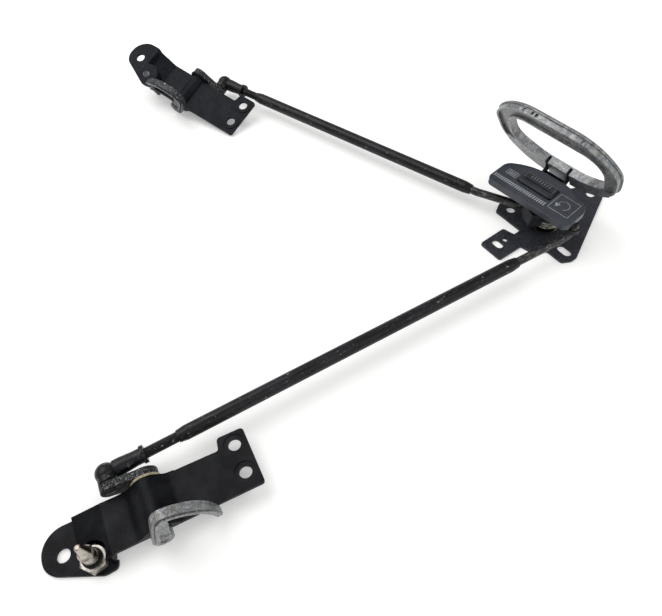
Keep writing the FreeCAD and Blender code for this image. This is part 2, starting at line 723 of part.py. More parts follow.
def bracket():
    lobe = [(36, -body_half, 0), (36, lobe_side, 0), (lobe_left, lobe_side, 19),
            (lobe_left, -9.0, 15), (24, -26.8, 9), (34, -26.0, 4.5), (35.5, -body_half, 0)]
    plan = [(-20, -40, 0), (200, -40, 0), (200, 40, 0), (60, 40, 0), (60, body_rod_side, 0),
            (body_start - 1, body_rod_side, 0), (ramp_start, lobe_side, 0), (-20, lobe_side, 0)]
    within = sheet(plan, -5, 60)
    top = step_height + sheet_t
    ramp_top = [(ramp_start - 1.2, sheet_t), (ramp_start + 0.6, ramp_rise + sheet_t), (body_start - 0.5, top),
                (body_start + 4, top)]
    ramp_under = [(body_start + 4, step_height), (body_start, step_height),
                  (ramp_start + 3.2, ramp_rise - 0.2), (ramp_start + 1.4, 0), (ramp_start - 1.2, 0)]
    ramp = side_profile(ramp_top + ramp_under, -body_half, lobe_side)
    wedge = side_profile(ramp_top + [(body_start + 4, 0), (ramp_start - 1.2, 0)], -body_half, lobe_side)
    # The ramp is drawn round the nut, which leaves a round pocket down to the flat
    nut_room = cylinder(2 * pocket_r, 60, V(pin_x, pin_y, -5))
    nut_wall = cylinder(2 * pocket_r + 2 * pocket_wall, 60, V(pin_x, pin_y, -5))
    wall = wedge.common(nut_wall).cut(nut_room)
    under_ramp = Part.makeBox(40, body_half + lobe_side + 2, 10, V(ramp_start, -body_half, -5))
    flat = sheet(lobe, 0, sheet_t).cut(under_ramp.cut(nut_wall))
    ramp = fused([ramp.cut(nut_room), wall]).common(within)
    body = [(body_start, -body_half, 0), (tail_x, -body_half, 2.5), (tail_x, tail_tab_y, 3),
            (tail_tab_x, tail_tab_y, 3), (tail_tab_x - 2, body_rod_side - 1, 2), (body_start, body_rod_side, 0)]
    deck = sheet(body, step_height, sheet_t)
    length = body_half + body_rod_side
    base = V(shaft_x, -body_half, shaft_z)
    housing_r = shaft_d / 2 + bush_wall + housing_wall
    # The deck swells into a smooth hump over the shaft's housing
    peak = shaft_z + housing_r + sheet_t
    swell = [(-hump_half, top), (-0.55 * hump_half, top + 0.36 * (peak - top)), (-0.22 * hump_half, peak - 1.0),
             (0, peak), (0.22 * hump_half, peak - 1.0), (0.55 * hump_half, top + 0.36 * (peak - top)), (hump_half, top)]
    crest = Part.BSplineCurve()
    crest.interpolate(Points=[V(shaft_x + x, -body_half, z) for x, z in swell],
                      InitialTangent=V(1, 0, 0), FinalTangent=V(1, 0, 0))
    foot = Part.makePolygon([V(shaft_x + hump_half, -body_half, top), V(shaft_x + hump_half, -body_half, top - 2),
                             V(shaft_x - hump_half, -body_half, top - 2), V(shaft_x - hump_half, -body_half, top)])
    hump = Part.Face(Part.Wire([crest.toShape()] + foot.Edges)).extrude(V(0, length, 0))
    steel = fused([flat, ramp, deck, hump])
    steel = steel.cut(cylinder(2 * housing_r, length, base, Y_AXIS))
    holes = [cylinder(lobe_hole_d, 12, V(0, 0, -2)), cylinder(pin_d - 3.6, 12, V(pin_x, pin_y, -2))]
    for y in (tail_hole_y, tail_hole_y - tail_hole_gap):
        holes.append(cylinder(tail_hole_d, 12, V(tail_hole_x, y, step_height - 2)))
        holes.append(cylinder(dimple_d, dimple_depth, V(tail_hole_x, y, top - dimple_depth)))
        steel = steel.fuse(cylinder(dimple_d + 1.6, dimple_depth, V(tail_hole_x, y, step_height - dimple_depth)))
    return steel.cut(Part.makeCompound(holes))


def shaft_housing():
    length = body_half + body_rod_side
    inner = shaft_d / 2 + bush_wall
    base = V(shaft_x, -body_half, shaft_z)
    return cylinder(2 * (inner + housing_wall), length, base, Y_AXIS).cut(
        cylinder(2 * inner, length, base, Y_AXIS))


def shaft_bush():
    length = body_half + body_rod_side
    inner = shaft_d / 2 + run_gap
    outer = shaft_d / 2 + bush_wall
    flange = bush_flange_d / 2
    return turned([(inner, -bush_flange_t), (flange, -bush_flange_t), (flange, 0), (outer, 0),
                   (outer, length), (inner, length)], V(shaft_x, body_rod_side, shaft_z), -Y_AXIS)


def latch_shaft():
    start = -body_half - 0.4 - hook_boss_t
    end = body_rod_side + bush_flange_t + 0.4 + crank_t
    radius = shaft_d / 2
    return turned([(0, 0), (radius - 1, 0), (radius, 1), (radius, end - start), (0, end - start)],
                  V(shaft_x, start, shaft_z), Y_AXIS)


def crank_lever(angle):
    y = body_rod_side + bush_flange_t + 0.4
    turn = math.radians(angle)
    tip = V(crank_radius * math.cos(turn), 0, crank_radius * math.sin(turn))
    centre = V(shaft_x, y, shaft_z)
    big = cylinder(crank_hub_d, crank_t, centre, Y_AXIS)
    small = cylinder(crank_tip_d, crank_t, centre + tip, Y_AXIS)
    along = V(tip).normalize()
    across = V(-along.z, 0, along.x)
    corners = [across * (crank_hub_d / 2 - 0.6), across * (-crank_hub_d / 2 + 0.6),
               tip - across * (crank_tip_d / 2 - 0.2), tip + across * (crank_tip_d / 2 - 0.2)]
    web = Part.Face(Part.makePolygon([centre + c for c in corners + corners[:1]])).extrude(V(0, crank_t, 0))
    lever = fused([big, small, web])
    lever = lever.cut(cylinder(shaft_d, crank_t, centre, Y_AXIS))
    return lever.cut(cylinder(stud_neck_d, crank_t, centre + tip, Y_AXIS))


def ball_stud(angle):
    centre = crank_tip(1, angle)
    neck = stud_neck_d / 2
    ball = ball_d / 2
    drop = ball_reach + crank_t
    flat = 1.4
    start = math.sqrt(ball ** 2 - neck ** 2)
    arc = []
    steps = 8
    first = math.asin(-start / ball)
    for i in range(steps + 1):
        angle_i = first + (math.radians(80) - first) * i / steps
        arc.append((ball * math.cos(angle_i), drop + ball * math.sin(angle_i)))
    profile = [(0, 0), (neck, 0), (neck, crank_t), (neck + 1.6, crank_t), (neck + 1.6, crank_t + flat),
               (neck, crank_t + flat)] + arc + [(0, arc[-1][1])]
    return turned(profile, centre - V(0, drop, 0), Y_AXIS)


def hook(angle):
    """A crescent claw: a wide rim on an arc about the shaft, a web inside it, and a boss on the shaft."""
    y_out = -body_half - 0.4
    boss = cylinder(hook_boss_d, hook_boss_t, V(shaft_x, y_out - hook_boss_t, shaft_z), Y_AXIS)

    def spot(radius, degrees, y):
        turn = math.radians(degrees)
        return V(shaft_x + radius * math.cos(turn), y, shaft_z + radius * math.sin(turn))

    def arc(start, through, end):
        return Part.Arc(start, through, end).toShape()

    back = angle + hook_lead
    tip = back - hook_sweep
    middle = (back + tip) / 2
    outer = hook_outer_r
    inner = outer - hook_rim_t
    root = hook_boss_d / 2 - 1
    rim_edges = [
        arc(spot(outer, back + hook_heel, y_out), spot(outer, middle, y_out), spot(outer, tip, y_out)),
        Part.LineSegment(spot(outer, tip, y_out), spot(inner + 1.2, tip - 1, y_out)).toShape(),
        arc(spot(inner + 1.2, tip - 1, y_out), spot(inner, middle, y_out), spot(inner, back + hook_heel, y_out)),
        Part.LineSegment(spot(inner, back + hook_heel, y_out), spot(outer, back + hook_heel, y_out)).toShape()]
    rim = Part.Face(Part.Wire(rim_edges)).extrude(V(0, -hook_rim_width, 0))
    # The rim narrows to its tip
    wide = spot(outer + 8, middle, y_out - hook_rim_width)
    narrow = spot(outer + 8, tip - 8, y_out - hook_rim_width * 0.35)
    away = V(0, -30, 0)
    inward = spot(outer - 30, (middle + tip) / 2, 0) - spot(outer + 8, (middle + tip) / 2, 0)
    blade = Part.makePolygon([wide, narrow, narrow + away, wide + away, wide])
    rim = rim.cut(Part.Face(blade).extrude(inward))
    # The stem under the rim runs down to the boss
    y_web = y_out - 0.8
    web_edges = [
        arc(spot(inner + 1, back + hook_heel - 1, y_web), spot(inner + 1, middle, y_web),
            spot(inner + 1, tip + 6, y_web)),
        arc(spot(inner + 1, tip + 6, y_web), spot(inner - 3.5, middle, y_web), spot(inner - 5, back - 17, y_web)),
        arc(spot(inner - 5, back - 17, y_web), spot(20, back - 21, y_web), spot(root, back - 55, y_web)),
        Part.LineSegment(spot(root, back - 55, y_web), spot(root, back + 55, y_web)).toShape(),
        arc(spot(root, back + 55, y_web), spot(22, back + hook_heel + 9, y_web),
            spot(inner + 1, back + hook_heel - 1, y_web))]
    web = Part.Face(Part.Wire(web_edges)).extrude(V(0, -hook_web_t, 0))
    claw = fused([boss, rim, web])
    return claw.cut(cylinder(shaft_d, hook_boss_t + 1, V(shaft_x, y_out - hook_boss_t - 0.5, shaft_z), Y_AXIS))


def pin_nut():
    corner = nut_flats / math.sqrt(3)
    points = [V(pin_x + corner * math.cos(math.radians(60 * i + 12)),
                pin_y + corner * math.sin(math.radians(60 * i + 12)), sheet_t) for i in range(6)]
    nut = Part.Face(Part.makePolygon(points + points[:1])).extrude(V(0, 0, nut_t))
    cone = turned([(0, -1), (corner + 6, -1), (corner + 6, nut_t - 6.5), (corner - 1.4, nut_t), (0, nut_t)],
                  V(pin_x, pin_y, sheet_t))
    nut = nut.common(cone)
    return nut.cut(cylinder(pin_d - 3.6, nut_t, V(pin_x, pin_y, sheet_t)))


def pin_collar():
    z = sheet_t + nut_t
    shank = pin_d - 3.6
    return turned([(shank / 2, 0), (collar_d / 2 - 0.7, 0), (collar_d / 2, 0.7), (collar_d / 2, collar_t - 0.7),
                   (collar_d / 2 - 0.7, collar_t), (shank / 2, collar_t)], V(pin_x, pin_y, z))


def guide_pin():
    shank = (pin_d - 3.6) / 2
    seat = sheet_t + nut_t + collar_t
    wide = pin_d / 2
    nose = pin_nose_d / 2
    tip = pin_tip_d / 2
    straight = seat + pin_shoulder
    return turned([(0, 0), (shank, 0), (shank, seat), (wide - 0.5, seat), (wide, seat + 0.5),
                   (wide, straight - 1.2), (wide - 1.0, straight), (nose, straight + 0.4),
                   (nose - 0.3, straight + 2.2), (tip + 0.4, pin_height - 1.2), (tip, pin_height - 0.3),
                   (tip - 0.6, pin_height), (0, pin_height)], V(pin_x, pin_y, 0))


def latch_pieces(latch):
    """Every piece of one side latch, placed in the row. The far latch is the near one's mirror image."""
    angle = latch["angle"]
    pieces = {
        "latch_bracket": bracket(), "shaft_housing": shaft_housing(), "shaft_bush": shaft_bush(),
        "latch_shaft": latch_shaft(), "crank_lever": crank_lever(angle), "ball_stud": ball_stud(angle),
        "hook": hook(angle), "guide_pin": guide_pin(), "pin_nut": pin_nut(), "pin_collar": pin_collar()}
    placed = {}
    for name, shape in pieces.items():
        if latch["side"] < 0:
            shape = shape.mirror(V(0, 0, 0), Y_AXIS)
        shape = shape.copy()
        shape.Placement = latch["frame"].multiply(shape.Placement)
        placed[name] = shape
    return placed


def build():
    nodes = {
        "base_plate": base_plate(), "hub_spindle": hub_spindle(), "thrust_washer": thrust_washer(),
        "hub_spring": hub_spring(), "hub_crank": hub_crank(), "hub_circlip": hub_circlip(),
        "cover_carrier": cover_carrier(), "carrier_rivets": carrier_rivets(), "cover_plate": cover_plate(),
        "cover_screws": cover_screws(), "press_button": press_button(),
        "handle_hinge_bracket": handle_hinge_bracket(), "handle_hinge_pin": handle_hinge_pin(),
        "ring_handle": ring_handle()}
    for name, latch in LATCHES.items():
        rod = {"inner_rod": inner_rod, "rod_tube": rod_tube, "threaded_rod": threaded_rod,
               "rod_end": rod_end, "rod_clip": rod_clip}
        for piece, make in rod.items():
            nodes[name + "_" + piece] = make(latch)
        for piece, shape in latch_pieces(latch).items():
            nodes[name + "_" + piece] = shape
    return nodes


def main():
    os.makedirs("parts", exist_ok=True)
    for name, shape in build().items():
        shape.exportStep("parts/" + name + ".step")
        print(name, "solids", len(shape.Solids), "valid", shape.isValid(), "volume", round(shape.Volume, 1))


main()
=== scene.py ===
import math
from statistics import NormalDist

import bmesh
import bpy
from mathutils import Matrix, Vector


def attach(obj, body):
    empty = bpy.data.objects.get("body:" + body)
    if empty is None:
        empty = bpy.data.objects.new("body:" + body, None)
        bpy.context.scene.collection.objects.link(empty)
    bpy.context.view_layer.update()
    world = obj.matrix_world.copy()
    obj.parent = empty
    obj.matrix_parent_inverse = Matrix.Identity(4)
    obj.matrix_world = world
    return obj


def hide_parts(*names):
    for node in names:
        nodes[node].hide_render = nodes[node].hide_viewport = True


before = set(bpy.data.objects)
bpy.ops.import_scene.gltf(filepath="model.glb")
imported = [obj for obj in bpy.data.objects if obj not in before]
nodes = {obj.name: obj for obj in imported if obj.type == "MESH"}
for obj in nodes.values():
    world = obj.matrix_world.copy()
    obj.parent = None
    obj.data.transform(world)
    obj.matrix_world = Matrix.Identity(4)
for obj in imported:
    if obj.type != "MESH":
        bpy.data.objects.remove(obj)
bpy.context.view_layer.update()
mm = 0.001
print("frame loaded:", len(nodes), "nodes")


# Materials

# How the noise behind every patch and grain is set; its values lie about the middle with this spread
noiseLook = {"middle": 0.5, "spread": 0.085, "detail": 3.0, "rough": 0.55, "grainDetail": 4.0, "grainRough": 0.6,
             "shift": (3.1, 1.7, 0.9)}


# sRGB hex to linear RGBA
def toLinear(hexColour):
    parts = [int(hexColour[i:i + 2], 16) / 255 for i in (1, 3, 5)]
    return tuple(c / 12.92 if c <= 0.04045 else ((c + 0.055) / 1.055) ** 2.4 for c in parts) + (1.0,)


def addNode(tree, kind, settings=None, inputs=None):
    node = tree.nodes.new(kind)
    for name, value in (settings or {}).items():
        setattr(node, name, value)
    for name, value in (inputs or {}).items():
        if isinstance(value, bpy.types.NodeSocket):
            tree.links.new(value, node.inputs[name])
        else:
            node.inputs[name].default_value = value
    return node


# The noise value that this share of the surface lies above
def noiseCut(share):
    return noiseLook["middle"] + noiseLook["spread"] * NormalDist().inv_cdf(1 - share)


# A base colour with soft-edged patches over it, each with its own size and share of the surface, and a fine grain
def makeFinish(name, finish):
    material = bpy.data.materials.new(name)
    material.use_nodes = True
    tree = material.node_tree
    tree.nodes.clear()
    place = addNode(tree, "ShaderNodeTexCoord").outputs["Object"]
    colour = toLinear(finish["colour"])
    rough = finish["rough"]
    metal = finish["metal"]
    for i, patch in enumerate(finish["patches"]):
        shift = addNode(tree, "ShaderNodeMapping", inputs={
            "Vector": place, "Location": tuple(step * i for step in noiseLook["shift"]),
            "Scale": patch.get("stretch", (1, 1, 1))})
        noise = addNode(tree, "ShaderNodeTexNoise", inputs={
            "Vector": shift.outputs["Vector"], "Scale": 1 / (patch["sizeMm"] * mm),
            "Detail": noiseLook["detail"], "Roughness": noiseLook["rough"]})
        cut = noiseCut(patch["share"])
        mask = addNode(tree, "ShaderNodeMapRange", {"clamp": True}, {
            "Value": noise.outputs[0], "From Min": cut - patch["soft"], "From Max": cut + patch["soft"],
            "To Max": patch.get("strength", 1.0)}).outputs[0]
        colour = addNode(tree, "ShaderNodeMix", {"data_type": "RGBA"}, {
            0: mask, 6: colour, 7: toLinear(patch["colour"])}).outputs[2]
        if "rough" in patch:
            rough = addNode(tree, "ShaderNodeMix", {"data_type": "FLOAT"}, {
                0: mask, 2: rough, 3: patch["rough"]}).outputs[0]
        if "metal" in patch:
            metal = addNode(tree, "ShaderNodeMix", {"data_type": "FLOAT"}, {
                0: mask, 2: metal, 3: patch["metal"]}).outputs[0]
    grain = addNode(tree, "ShaderNodeTexNoise", inputs={
        "Vector": place, "Scale": 1 / (finish["grainMm"] * mm),
        "Detail": noiseLook["grainDetail"], "Roughness": noiseLook["grainRough"]})
    bump = addNode(tree, "ShaderNodeBump", inputs={
        "Height": grain.outputs[0], "Strength": finish["grain"], "Distance": finish["grainMm"] * mm})
    shader = addNode(tree, "ShaderNodeBsdfPrincipled", inputs={
        "Base Color": colour, "Roughness": rough, "Metallic": metal, "Normal": bump.outputs["Normal"],
        "Specular IOR Level": finish["specular"]})
    addNode(tree, "ShaderNodeOutputMaterial", inputs={"Surface": shader.outputs[0]})
    return material


# The paints' grain and dust are really finer than 0.4 mm; they are drawn as coarse as they need to show
finishes = {
    # Latch brackets, electrocoated pressed steel: almost black and satin, with a dust film and a few pale scuffs
    "satinBlackPaint": dict(colour="#08090c", rough=0.34, metal=0.0, specular=0.08, grainMm=0.7, grain=0.08, patches=[
        dict(colour="#1b1c20", sizeMm=18, share=0.30, soft=0.14, rough=0.28),
        dict(colour="#1c1d22", sizeMm=1.3, share=0.06, soft=0.04, rough=0.55),
        dict(colour="#6c6d6e", sizeMm=0.9, share=0.003, soft=0.012, rough=0.7)]),
    # The far latch's bracket: the same paint, greyer and bluer with dust
    "dustyBlackPaint": dict(colour="#0e1116", rough=0.42, metal=0.0, specular=0.08, grainMm=0.7, grain=0.08, patches=[
        dict(colour="#1a1e24", sizeMm=14, share=0.45, soft=0.12),
        dict(colour="#2a2d33", sizeMm=1.2, share=0.07, soft=0.04, rough=0.6),
        dict(colour="#7d7e7f", sizeMm=1.0, share=0.004, soft=0.012, rough=0.7)]),
    # Base plate: thin black paint, blue-grey with fine dust
    "plateBlackPaint": dict(colour="#1b1d24", rough=0.48, metal=0.0, specular=0.35, grainMm=0.7, grain=0.12, patches=[
        dict(colour="#2b2d35", sizeMm=15, share=0.50, soft=0.12),
        dict(colour="#3f414a", sizeMm=1.0, share=0.16, soft=0.04, rough=0.62),
        dict(colour="#8a8b90", sizeMm=0.8, share=0.012, soft=0.015, rough=0.7)]),
    # Hub, painted iron casting: rougher and nearly black in its hollows
    "hubBlackPaint": dict(colour="#101216", rough=0.5, metal=0.0, specular=0.25, grainMm=1.0, grain=0.3, patches=[
        dict(colour="#22252b", sizeMm=5, share=0.45, soft=0.08),
        dict(colour="#4a4d54", sizeMm=1.1, share=0.05, soft=0.03, rough=0.65)]),
    # Sprayed cover: dark blue-grey, smooth and slightly glossy
    "coverPaint": dict(colour="#2c3038", rough=0.30, metal=0.0, specular=0.45, grainMm=0.5, grain=0.04, patches=[
        dict(colour="#363a43", sizeMm=12, share=0.45, soft=0.12),
        dict(colour="#454952", sizeMm=0.9, share=0.06, soft=0.03)]),
    # Button, moulded ABS: a shade darker than the cover
    "buttonPlastic": dict(colour="#1c1f25", rough=0.34, metal=0.0, specular=0.4, grainMm=0.4, grain=0.05, patches=[
        dict(colour="#272a31", sizeMm=8, share=0.4, soft=0.12)]),
    # Pad-printed marks: a flat pale grey, worn thin in places
    "printGrey": dict(colour="#a9adb3", rough=0.6, metal=0.0, specular=0.3, grainMm=0.4, grain=0.05, patches=[
        dict(colour="#80848b", sizeMm=1.1, share=0.30, soft=0.06)]),
    # The same print on the button, fainter
    "faintPrint": dict(colour="#777b82", rough=0.6, metal=0.0, specular=0.3, grainMm=0.4, grain=0.05, patches=[
        dict(colour="#5b5f66", sizeMm=0.9, share=0.35, soft=0.06)]),
    # Zinc die casting: smooth blue-grey with soft cloudy areas, small glossy bright spots painted as highlights and a
    # faint brown stain
    "castGrey": dict(colour="#83868a", rough=0.36, metal=0.45, specular=0.5, grainMm=1.6, grain=0.16, patches=[
        dict(colour="#6b6e71", sizeMm=11, share=0.45, soft=0.16),
        dict(colour="#9b9c9a", sizeMm=5, share=0.28, soft=0.10),
        dict(colour="#5a5c5e", sizeMm=2.2, share=0.10, soft=0.06, strength=0.8),
        dict(colour="#7a6a58", sizeMm=16, share=0.04, soft=0.06, strength=0.4),
        # Painted highlight spots
        dict(colour="#b9b8b2", sizeMm=2.0, share=0.04, soft=0.05, rough=0.30)]),
    # Hook, zinc-plated steel gone dull: fine, quiet mottling with darker hollows and a warm bloom
    "speckledZinc": dict(colour="#858789", rough=0.42, metal=0.45, specular=0.5, grainMm=1.0, grain=0.2, patches=[
        dict(colour="#6a6c6e", sizeMm=4.0, share=0.40, soft=0.10),
        dict(colour="#a9aaa8", sizeMm=1.4, share=0.24, soft=0.06),
        dict(colour="#47494b", sizeMm=1.1, share=0.10, soft=0.04, strength=0.8),
        dict(colour="#7d766a", sizeMm=7, share=0.07, soft=0.05, strength=0.4)]),
    # The far latch's hook, shaft, pin and nut: the same plating, its colours darkened as painted shade
    "shadedZinc": dict(colour="#34373a", rough=0.40, metal=0.5, specular=0.5, grainMm=1.0, grain=0.2, patches=[
        dict(colour="#212326", sizeMm=4.0, share=0.42, soft=0.10),
        dict(colour="#8d9093", sizeMm=2.4, share=0.07, soft=0.05),
        dict(colour="#4f4a3e", sizeMm=5, share=0.08, soft=0.05, strength=0.5)]),
    # Crank lever: black paint flaked down to speckled zinc
    "flakedPaint": dict(colour="#0f1012", rough=0.5, metal=0.1, specular=0.25, grainMm=0.9, grain=0.3, patches=[
        dict(colour="#3a3c3e", sizeMm=1.6, share=0.30, soft=0.04, rough=0.5, metal=0.4),
        dict(colour="#8e8f92", sizeMm=1.0, share=0.08, soft=0.02)]),
    # Turned steel: bright and smooth with a warm tint
    "turnedSteel": dict(colour="#b3aca2", rough=0.24, metal=1.0, specular=0.5, grainMm=0.6, grain=0.06, patches=[
        dict(colour="#8a8176", sizeMm=5, share=0.30, soft=0.10),
        dict(colour="#5d564d", sizeMm=1.2, share=0.06, soft=0.04, strength=0.7)]),
    # Zinc-plated nut: duller than the pin that it holds, with pale worn corners
    "zincNut": dict(colour="#a8a39c", rough=0.38, metal=0.8, specular=0.5, grainMm=0.8, grain=0.12, patches=[
        dict(colour="#7d776e", sizeMm=4, share=0.35, soft=0.10),
        dict(colour="#d0cbc2", sizeMm=1.2, share=0.12, soft=0.05)]),
    # Plated spring wire: pale and faintly green, with darker worn lengths
    "brightWire": dict(colour="#b4b5a6", rough=0.28, metal=0.8, specular=0.5, grainMm=0.6, grain=0.12, patches=[
        dict(colour="#6e7067", sizeMm=2.4, share=0.30, soft=0.08),
        dict(colour="#dadad0", sizeMm=1.0, share=0.10, soft=0.04)]),
    # Acetal bush, moulded and aged to ivory
    "ivoryBush": dict(colour="#aaa289", rough=0.5, metal=0.0, specular=0.4, grainMm=0.6, grain=0.08, patches=[
        dict(colour="#8d825f", sizeMm=2.5, share=0.3, soft=0.08)]),
    # Rods and tubes: thin black paint with long paler streaks along the rods painted as highlights, a few bare scuffs
    # and rust specks
    "rodPaint": dict(colour="#0d0e10", rough=0.30, metal=0.0, specular=0.22, grainMm=1.2, grain=0.14, patches=[
        # The two long patches are painted highlight streaks, stretched along the rod
        dict(colour="#1d1e21", sizeMm=7, share=0.40, soft=0.10, stretch=(1, 0.25, 1)),
        dict(colour="#34353a", sizeMm=1.4, share=0.07, soft=0.04, stretch=(1, 0.3, 1)),
        dict(colour="#7d7c77", sizeMm=3.2, share=0.012, soft=0.02, rough=0.6, stretch=(1, 0.6, 1)),
        dict(colour="#4c3726", sizeMm=1.5, share=0.006, soft=0.02, rough=0.8)]),
    # Inner rods near the hub: the paint is rubbed to a grey sheen, with a few rust specks
    "scuffedRod": dict(colour="#1f2022", rough=0.27, metal=0.4, specular=0.5, grainMm=1.2, grain=0.12, patches=[
        dict(colour="#3e3f41", sizeMm=6, share=0.45, soft=0.12, stretch=(1, 0.3, 1)),
        dict(colour="#6f6e6b", sizeMm=2.0, share=0.10, soft=0.06, stretch=(1, 0.3, 1)),
        dict(colour="#5c4431", sizeMm=1.5, share=0.010, soft=0.02, rough=0.8)]),
    # Rubber collar under the nut: moulded, deep black and dull
    "blackRubber": dict(colour="#08090a", rough=0.5, metal=0.0, specular=0.2, grainMm=0.5, grain=0.1, patches=[
        dict(colour="#141517", sizeMm=2, share=0.3, soft=0.06)]),
}
# The far rod lies along the other axis, so its streaks do too
for name in ("rodPaint", "scuffedRod"):
    turned = [dict(patch, stretch=patch["stretch"][1::-1] + (1,)) if "stretch" in patch else patch
              for patch in finishes[name]["patches"]]
    finishes[name + "Far"] = dict(finishes[name], patches=turned)
materials = {name: makeFinish(name, finish) for name, finish in finishes.items()}
print("materials made:", len(materials))

nodeFinish = {
    "base_plate": "plateBlackPaint", "hub_spindle": "turnedSteel", "thrust_washer": "turnedSteel",
    "hub_spring": "brightWire", "hub_crank": "hubBlackPaint", "hub_circlip": "turnedSteel",
    "cover_carrier": "satinBlackPaint", "carrier_rivets": "turnedSteel", "cover_plate": "coverPaint",
    "cover_screws": "turnedSteel", "press_button": "buttonPlastic", "handle_hinge_bracket": "satinBlackPaint",
    "handle_hinge_pin": "turnedSteel", "ring_handle": "castGrey"}
sideFinish = {
    "inner_rod": "scuffedRod", "rod_tube": "rodPaint", "threaded_rod": "rodPaint", "rod_end": "rodPaint",
    "rod_clip": "turnedSteel", "latch_bracket": "satinBlackPaint", "shaft_housing": "satinBlackPaint",
    "shaft_bush": "ivoryBush", "latch_shaft": "speckledZinc", "crank_lever": "flakedPaint",
    "ball_stud": "turnedSteel", "hook": "speckledZinc", "guide_pin": "turnedSteel", "pin_nut": "zincNut",
    "pin_collar": "blackRubber"}
for side in ("near", "far"):
    nodeFinish.update({side + "_" + piece: finish for piece, finish in sideFinish.items()})
# The far hook, shaft, pin and nut take the zinc darkened as painted shade
nodeFinish.update({
    "far_inner_rod": "scuffedRodFar", "far_rod_tube": "rodPaintFar", "far_threaded_rod": "rodPaintFar",
    "far_rod_end": "rodPaintFar", "far_latch_bracket": "dustyBlackPaint", "far_shaft_housing": "dustyBlackPaint",
    "far_hook": "shadedZinc", "far_latch_shaft": "shadedZinc", "far_guide_pin": "shadedZinc",
    "far_pin_nut": "shadedZinc", "far_shaft_bush": "dustyBlackPaint"})

# Rounding of the solids' edges in millimetres; a solid that a piece below stands for has none
edgeRound = {"default": 0.35, "cover_plate": 0.5, "ring_handle": 0.6, "base_plate": 0.4, "press_button": 0.3,
             "near_rod_end": 0.6, "far_rod_end": 0.6, "near_hook": 0, "far_hook": 0, "hub_spring": 0, "sharper": 38}


# Rounds the edges that turn by more than the given degrees
def roundEdges(piece, width, sharper):
    bevel = piece.modifiers.new("edges", "BEVEL")
    bevel.width = width * mm
    bevel.segments = 2
    bevel.limit_method = "ANGLE"
    bevel.angle_limit = math.radians(sharper)
    bevel.harden_normals = True


for name, node in nodes.items():
    node.data.materials.clear()
    node.data.materials.append(materials[nodeFinish[name]])
    width = edgeRound.get(name, edgeRound["default"])
    if width:
        roundEdges(node, width, edgeRound["sharper"])
print("finishes given to the solids")


# New pieces, each built as a mesh in the row's frame

def addPiece(name, mesh, finish, body, smooth):
    mesh.polygons.foreach_set("use_smooth", [smooth] * len(mesh.polygons))
    mesh.materials.append(materials[finish])
    mesh.update()
    piece = bpy.data.objects.new(name, mesh)
    bpy.context.collection.objects.link(piece)
    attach(piece, body)
    return piece


def makePiece(name, points, faces, finish, body, smooth=True):
    mesh = bpy.data.meshes.new(name)
    mesh.from_pydata(points, [], faces)
    return addPiece(name, mesh, finish, body, smooth)


# A ring of points round a centre, square to a direction
def ringPoints(centre, direction, radius, sides):
    across = direction.cross(Vector((0, 0, 1))).normalized()
    rise = across.cross(direction)
    turns = [2 * math.pi * k / sides for k in range(sides)]
    return [centre + radius * (math.cos(a) * across + math.sin(a) * rise) for a in turns]


# The faces between rings of points, and the two that close the ends
def ringFaces(rings, sides):
    faces = []
    for i in range(rings - 1):
        for k in range(sides):
            n = (k + 1) % sides
            faces.append((i * sides + k, i * sides + n, (i + 1) * sides + n, (i + 1) * sides + k))
    faces.append(tuple(reversed(range(sides))))
    faces.append(tuple((rings - 1) * sides + k for k in range(sides)))
    return faces


# Points and faces of a closed tube along a list of centres
def tubeAlong(centres, radius, sides):
    points = []
    last = len(centres) - 1
    for i, centre in enumerate(centres):
        ahead = (centres[min(i + 1, last)] - centres[max(i - 1, 0)]).normalized()
        points += ringPoints(centre, ahead, radius, sides)
    return points, ringFaces(len(centres), sides)


# Points and faces of a turned form: (distance along, radius) pairs
def lathe(profile, base, direction, sides):
    points = []
    for along, radius in profile:
        points += ringPoints(base + direction * along, direction, radius, sides)
    return points, ringFaces(len(profile), sides)


# Hub spring: one even helix with closed ends
spring = {"radius": 11.2, "wire": 1.18, "turns": 3.0, "pitch": 3.1, "foot": 6.55, "steps": 40, "sides": 14}
centres = []
for i in range(int(spring["turns"] * spring["steps"]) + 1):
    a = 2 * math.pi * i / spring["steps"]
    centres.append(Vector((spring["radius"] * math.cos(a), spring["radius"] * math.sin(a),
                           spring["foot"] + spring["pitch"] * a / (2 * math.pi))) * mm)
points, faces = tubeAlong(centres, spring["wire"] * mm, spring["sides"])
coil = makePiece("spring_helix", points, faces, "brightWire", "base")
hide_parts("hub_spring")

# Rolled threads on the rods, between each rod end and its tube; the rise and fall are shares of the pitch
thread = {"pitch": 1.5, "root": 4.02, "crest": 4.3, "rise": 0.35, "fall": 0.65, "sides": 36}
threads = {
    "near": dict(ball=(-18.979, -458.141, 22.048), along=(0.11163, 0.99372, -0.00782), start=31.2, end=57.0),
    "far": dict(ball=(-389.331, -137.601, 17.421), along=(0.95242, 0.30476, 0.00274), start=31.2, end=51.0)}
for side, run in threads.items():
    profile = []
    place = run["start"]
    while place + thread["pitch"] < run["end"]:
        profile += [(place, thread["root"]), (place + thread["rise"] * thread["pitch"], thread["crest"]),
                    (place + thread["fall"] * thread["pitch"], thread["crest"])]
        place += thread["pitch"]
    profile.append((place, thread["root"]))
    points, faces = lathe([(x * mm, r * mm) for x, r in profile], Vector(run["ball"]) * mm,
                          Vector(run["along"]).normalized(), thread["sides"])
    makePiece(side + "_thread", points, faces, nodeFinish[side + "_rod_tube"], side + "_rod",
              smooth=False)
print("spring and threads made")


# The two hooks, each a crescent rim that runs round its heel and down to the boss, with a web inside it

latches = {
    "near": dict(place=(8.3, -510.8, 0.0), turns=(79.4, 0.0, 0.0), side=1, crank=166.0, finish="speckledZinc"),
    # The far hook's finish is the zinc darkened as painted shade
    "far": dict(place=(-461.2, -207.2, 44.9), turns=(18.28, 8.21, -160.99), side=-1, crank=28.0,
                finish="shadedZinc")}
